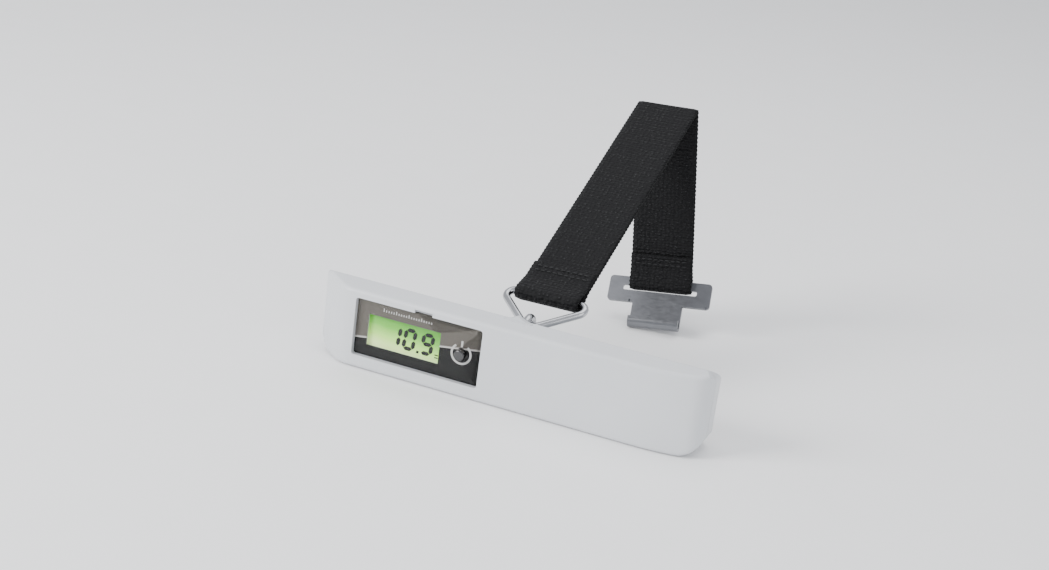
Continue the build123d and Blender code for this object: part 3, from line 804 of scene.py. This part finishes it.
# ---------------------------------------------------------------- wire work and clip
@dataclass
class Metalwork:
    """The hook, the ring and the strap clip."""

    wire: Metal = Metal("bright_wire", (0.47, 0.475, 0.49), rough=0.17, stretch=(900.0, 900.0, 900.0))
    plate: Metal = Metal("satin_plate", (0.21, 0.215, 0.23), rough=0.32, stretch=(500.0, 1800.0, 1800.0))

    def dress(self, nodes: dict[str, bpy.types.Object]) -> None:
        """Gives the metal CAD nodes their finishes.

        Args:
            nodes: The CAD nodes by name.
        """
        wire = self.wire.build()
        for name in ("load_hook", "triangle_ring"):
            paint(nodes[name], wire)
        paint(nodes["strap_clip"], self.plate.build())
        LOG.info("metalwork dressed")


# ---------------------------------------------------------------- strap
@dataclass
class Station:
    """One place along the band: its middle, the way across it and the way through it."""

    middle: Vector
    across: Vector
    through: Vector


@dataclass
class Strap:
    """The webbing, in one length: round the ring, up to the fold, down and round the clip.

    Sizes are millimetres.
    """

    joints: dict[str, dict]
    width: float = 26.0
    thick: float = 1.4
    ring_loop: float = 1.75
    clip_loop: float = 2.1
    lower_hem: float = 15.0
    upper_hem: float = 13.0
    taper: float = 7.0
    twist: float = -11.0
    step: float = 0.275
    rib: float = 1.7
    rib_rise: float = 0.13
    edge_tooth: float = 0.34
    fold_reach: float = 3.0
    fold_steps: int = 12
    fold_bulge: float = 0.25
    side_points: int = 14
    stitch_pitch: float = 2.4
    stitch_length: float = 1.9
    stitch_radius: float = 0.26
    ring_rows: tuple[float, float] = (2.2, 4.4)
    clip_rows: tuple[float, float] = (2.2, 4.2)

    def __post_init__(self) -> None:
        """Works out the strap's directions from the joints that it hangs between."""
        self.bar = Vector(self.joints["strap_on_ring"]["pos_m"]) / MM
        self.fold = Vector(self.joints["strap_fold"]["pos_m"]) / MM
        self.clip = Vector(self.joints["clip_swing"]["pos_m"]) / MM
        self.across = Vector(self.joints["strap_fold"]["axis"]).normalized()
        self.clip_across = Vector(self.joints["clip_swing"]["axis"]).normalized()
        reach = self.fold - self.bar
        self.lower_length = sqrt(reach.length_squared - self.thick**2)
        side = self.across.cross(reach)
        self.lower = (reach * self.lower_length + side * self.thick).normalized()
        self.upper = (self.clip - self.fold).normalized()
        self.upper_length = (self.clip - self.fold).length
        self.upper_across = Matrix.Rotation(-radians(self.twist), 3, self.upper) @ self.clip_across

    def lower_run(self) -> list[Station]:
        """Stations from the sewn end, round the ring's bar and up to the fold."""
        half = self.thick / 2
        radius = self.ring_loop + half
        up = self.across.cross(self.lower)
        points: list[tuple[float, float]] = []
        points += line_points((self.lower_hem - 0.2, half), (self.taper, half), self.step)
        points += line_points((self.taper, half), (0.0, radius), self.step)
        points += arc_points(radius, 90.0, 270.0, self.step)
        points += line_points((0.0, -radius), (self.taper, -half), self.step)
        points += line_points((self.taper, -half), (self.lower_length - 0.4, -half), self.step)
        points = relaxed(points)
        return stations(points, self.bar, self.lower, up, self.across, self.across)

    def fold_run(self) -> list[Station]:
        """Stations round the fold, turning about its line."""
        start = self.across.cross(self.lower)
        end = self.across.cross(self.upper)
        turn = start.angle(end)
        radius = self.thick / 2
        count = self.fold_steps
        made = []
        for i in range(1, count):
            share = i / count
            through = Matrix.Rotation(-turn * share, 3, self.across) @ start
            bulge = radius + self.fold_bulge * sin(pi * share)
            across = self.across.lerp(self.upper_across, share).normalized()
            made.append(Station(self.fold + through * bulge, across, through))
        return made

    def upper_run(self) -> list[Station]:
        """Stations from the fold down, round the clip's bar and back to the sewn end."""
        half = self.thick / 2
        radius = self.clip_loop + half
        points: list[tuple[float, float]] = []
        points += line_points((self.upper_length - 0.4, -half), (self.taper, -half), self.step)
        points += line_points((self.taper, -half), (0.0, -radius), self.step)
        points += arc_points(radius, 270.0, 90.0, self.step)
        points += line_points((0.0, radius), (self.taper, half), self.step)
        points += line_points((self.taper, half), (self.upper_hem - 0.2, half), self.step)
        points = relaxed(points)
        up = self.clip_across.cross(-self.upper)
        made = stations(points, self.clip, -self.upper, up, self.clip_across, self.clip_across)
        flat = self.upper_length - self.upper_hem
        for station, (along, _) in zip(made, points):
            share = min(max((along - self.upper_hem + 1.0) / flat, 0.0), 1.0)
            turn = Matrix.Rotation(-radians(self.twist) * share, 3, self.upper)
            station.middle = self.clip + turn @ (station.middle - self.clip)
            station.across = turn @ station.across
            station.through = turn @ station.through
        return made

    def profile(self, along: float) -> list[tuple[float, float, float]]:
        """The band's outline at one place.

        Args:
            along: Length of cloth up to here, in millimetres.

        Returns:
            Points (across, through, cloth coordinate across).
        """
        phase = 2 * pi * along / self.rib
        tooth = self.edge_tooth * abs(((along / self.rib) % 1.0) * 2 - 1)
        half = self.width / 2 - tooth
        rise = self.thick / 2 - self.rib_rise * (0.5 - 0.5 * cos(phase))
        count = self.side_points
        top = []
        for i in range(count + 1):
            place = -half + 2 * half * i / count
            near = 1.0 - max(0.0, abs(place) - half + 0.6) / 0.6 * 0.55
            top.append((place, rise * near, place))
        bottom = [(a, -t, c + 40.0) for a, t, c in reversed(top)]
        return top + bottom

    def build(self, material: bpy.types.Material) -> bpy.types.Object:
        """Args:
            material: The webbing.

        Returns:
            The strap.
        """
        places = self.lower_run() + self.fold_run() + self.upper_run()
        verts: list[Vector] = []
        cloth: list[tuple[float, float]] = []
        along = 0.0
        for i, place in enumerate(places):
            if i:
                along += (place.middle - places[i - 1].middle).length
            for across, through, wide in self.profile(along):
                verts.append((place.middle + place.across * across + place.through * through) * MM)
                cloth.append((along, wide))
        ring = 2 * (self.side_points + 1)
        faces: list[tuple[int, ...]] = []
        for i in range(len(places) - 1):
            for j in range(ring):
                k = (j + 1) % ring
                faces.append((i * ring + j, i * ring + k, (i + 1) * ring + k, (i + 1) * ring + j))
        last = (len(places) - 1) * ring
        faces += [tuple(range(ring)), tuple(last + j for j in range(ring))]
        strap = make_object("webbing_strap", verts, faces, material)
        layer = strap.data.uv_layers.new(name="cloth")
        for loop in strap.data.loops:
            layer.data[loop.index].uv = cloth[loop.vertex_index]
        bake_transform(strap)
        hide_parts("strap_lower", "strap_upper")
        LOG.info("strap %.1f mm of webbing", along)
        return strap

    def stitches(self, name: str, body: Body, rows: list[tuple[Vector, Vector, Vector, Vector]]) -> None:
        """Rows of short raised stitches.

        Args:
            name: The piece's name.
            body: The body that they ride on.
            rows: For each row its middle, the way across, the way up and the way along.
        """
        thread = Moulded(name + "_thread", (0.009, 0.009, 0.01), rough=0.8, grain=6000.0, cloud=0.2)
        verts: list[Vector] = []
        faces: list[tuple[int, ...]] = []
        pitch, length, radius = self.stitch_pitch, self.stitch_length, self.stitch_radius
        count = int((self.width - 3.0) / pitch)
        for middle, across, up, along in rows:
            for i in range(count):
                centre = middle + across * (pitch * (i - (count - 1) / 2))
                start = len(verts)
                for s in range(7):
                    share = s / 6
                    swell = sin(pi * min(max(share, 0.06), 0.94)) ** 0.5
                    for t in range(8):
                        angle = 2 * pi * t / 8
                        point = centre + across * (length * (share - 0.5))
                        point += up * (radius * swell * sin(angle) + 0.12 * sin(pi * share))
                        point += along * (radius * swell * cos(angle))
                        verts.append(point * MM)
                for s in range(6):
                    for t in range(8):
                        u = (t + 1) % 8
                        a, b = start + s * 8, start + (s + 1) * 8
                        faces.append((a + t, a + u, b + u, b + t))
                faces += [tuple(start + t for t in range(8)), tuple(start + 48 + t for t in range(8))]
        made = make_object(name, verts, faces, thread.build())
        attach(made, body.value)
        LOG.info("%s: %d stitches", name, count * len(rows))

    def sew(self) -> None:
        """Makes the stitching of both hems, on both faces."""
        up = self.across.cross(self.lower)
        rows = []
        for inset in self.ring_rows:
            for side in (1.0, -1.0):
                middle = self.bar + self.lower * (self.lower_hem - inset) + up * (side * self.thick)
                rows.append((middle, self.across, up * side, self.lower))
        self.stitches("ring_hem_stitches", Body.STRAP_LOW, rows)
        out = self.clip_across.cross(-self.upper)
        rows = []
        for inset in self.clip_rows:
            for side in (1.0, -1.0):
                middle = self.clip - self.upper * (self.upper_hem - inset) + out * (side * self.thick)
                rows.append((middle, self.clip_across, out * side, self.upper))
        self.stitches("clip_hem_stitches", Body.STRAP_UP, rows)


def line_points(
    start: tuple[float, float], end: tuple[float, float], step: float
) -> list[tuple[float, float]]:
    """Evenly spaced points on a line, without its last.

    Args:
        start: First point.
        end: Last point.
        step: Spacing.

    Returns:
        The points.
    """
    length = sqrt((end[0] - start[0]) ** 2 + (end[1] - start[1]) ** 2)
    count = max(2, round(length / step))
    return [
        (start[0] + (end[0] - start[0]) * i / count, start[1] + (end[1] - start[1]) * i / count)
        for i in range(count)
    ]


def arc_points(radius: float, start: float, end: float, step: float) -> list[tuple[float, float]]:
    """Points on an arc about the origin, without its last.

    Args:
        radius: The arc's radius.
        start: First angle in degrees.
        end: Last angle.
        step: Spacing.

    Returns:
        The points.
    """
    count = max(4, round(abs(radians(end - start)) * radius / step))
    angles = [radians(start + (end - start) * i / count) for i in range(count)]
    return [(radius * cos(a), radius * sin(a)) for a in angles]


def relaxed(points: list[tuple[float, float]]) -> list[tuple[float, float]]:
    """Points with their corners eased by averaging each with its neighbours."""
    for _ in range(6):
        inner = [
            ((a[0] + 2 * b[0] + c[0]) / 4, (a[1] + 2 * b[1] + c[1]) / 4)
            for a, b, c in zip(points, points[1:], points[2:])
        ]
        points = [points[0], *inner, points[-1]]
    return points


def stations(
    points: list[tuple[float, float]],
    origin: Vector,
    ahead: Vector,
    up: Vector,
    across: Vector,
    turn_about: Vector,
) -> list[Station]:
    """Stations along plane points.

    Args:
        points: Points (ahead, up) in millimetres.
        origin: The plane's origin.
        ahead: Its first direction.
        up: Its second direction.
        across: The way across the band.
        turn_about: The plane's normal.

    Returns:
        One station for each point.
    """
    made = []
    for i, (a, b) in enumerate(points):
        before, after = points[max(i - 1, 0)], points[min(i + 1, len(points) - 1)]
        tangent = (ahead * (after[0] - before[0]) + up * (after[1] - before[1])).normalized()
        through = turn_about.cross(tangent)
        made.append(Station(origin + ahead * a + up * b, across.copy(), through))
    return made


# ---------------------------------------------------------------- studio
@dataclass
class Studio:
    """Pale floor, soft lights and the camera."""

    eye: tuple[float, float, float] = (0.1907, -0.5201, 0.2371)
    azimuth: float = 19.976
    elevation: float = 19.179
    roll: float = 7.712
    lens: float = 57.46
    floor_size: float = 3.0
    floor_drop: float = 0.0002
    surround: Colour = (0.93, 0.95, 1.0)
    surround_strength: float = 0.95
    floor_colour: Colour = (0.93, 0.93, 0.93)
    lamps: tuple[tuple[str, Colour, Colour, float, float], ...] = (
        ("key", (-0.75, -0.75, 0.6), (0.0, 0.0, 0.02), 16.0, 0.5),
        ("fill", (0.85, -0.6, 0.5), (0.0, 0.0, 0.02), 3.0, 0.8),
        ("top", (0.05, 0.25, 1.1), (0.0, 0.05, 0.0), 6.0, 1.0),
    )

    def camera(self) -> None:
        """Places the camera."""
        a, e, r = radians(self.azimuth), radians(self.elevation), radians(self.roll)
        back = Vector((sin(a) * cos(e), -cos(a) * cos(e), sin(e)))
        right = Vector((cos(a), sin(a), 0.0))
        up = back.cross(right)
        across = right * cos(r) + up * sin(r)
        upward = up * cos(r) - right * sin(r)
        data = bpy.data.cameras.new("camera")
        data.lens = self.lens
        data.sensor_width = 36.0
        data.sensor_fit = "HORIZONTAL"
        data.clip_start = 0.01
        holder = bpy.data.objects.new("camera", data)
        turn = Matrix((across, upward, back)).transposed().to_4x4()
        holder.matrix_world = Matrix.Translation(self.eye) @ turn
        bpy.context.scene.collection.objects.link(holder)
        bpy.context.scene.camera = holder

    def lights(self) -> None:
        """Adds the lamps and the pale surround."""
        for name, place, target, power, size in self.lamps:
            data = bpy.data.lights.new(name, "AREA")
            data.energy = power
            data.size = size
            holder = bpy.data.objects.new(name, data)
            holder.location = place
            aim = Vector(target) - Vector(place)
            holder.rotation_euler = aim.to_track_quat("-Z", "Y").to_euler()
            bpy.context.scene.collection.objects.link(holder)
        world = bpy.data.worlds.new("surround")
        world.use_nodes = True
        shader = world.node_tree.nodes["Background"]
        shader.inputs["Color"].default_value = (*self.surround, 1.0)
        shader.inputs["Strength"].default_value = self.surround_strength
        bpy.context.scene.world = world

    def floor(self) -> None:
        """Lays the floor."""
        half = self.floor_size / 2
        spots = ((-half, -half), (half, -half), (half, half), (-half, half))
        corners = [Vector((x, y, -self.floor_drop)) for x, y in spots]
        paper = Moulded("paper_floor", self.floor_colour, rough=0.75, grain=900.0, cloud=0.005)
        made = make_object("studio_floor", corners, [(0, 1, 2, 3)], paper.build(), smooth=False)

    def build(self) -> None:
        """Sets up the whole studio."""
        self.floor()
        self.lights()
        self.camera()
        LOG.info("studio ready")


def joint_table(frame: dict) -> dict[str, dict]:
    """The record's joints by name."""
    return {joint["name"]: joint for joint in frame["record"]["behaviour"]["joints"]}


def main() -> None:
    """Builds every part of the model and reports each."""
    logging.basicConfig(level=logging.INFO, format="%(message)s")
    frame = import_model()
    nodes = frame["nodes"]
    Casing().dress(nodes)
    low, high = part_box("display_window")
    Display(window=(Vector(low), Vector(high))).build(nodes)
    Inside().dress(nodes)
    Metalwork().dress(nodes)
    strap = Strap(joint_table(frame))
    strap.build(Webbing().build())
    strap.sew()
    Studio().build()


if __name__ == "__main__":
    main()
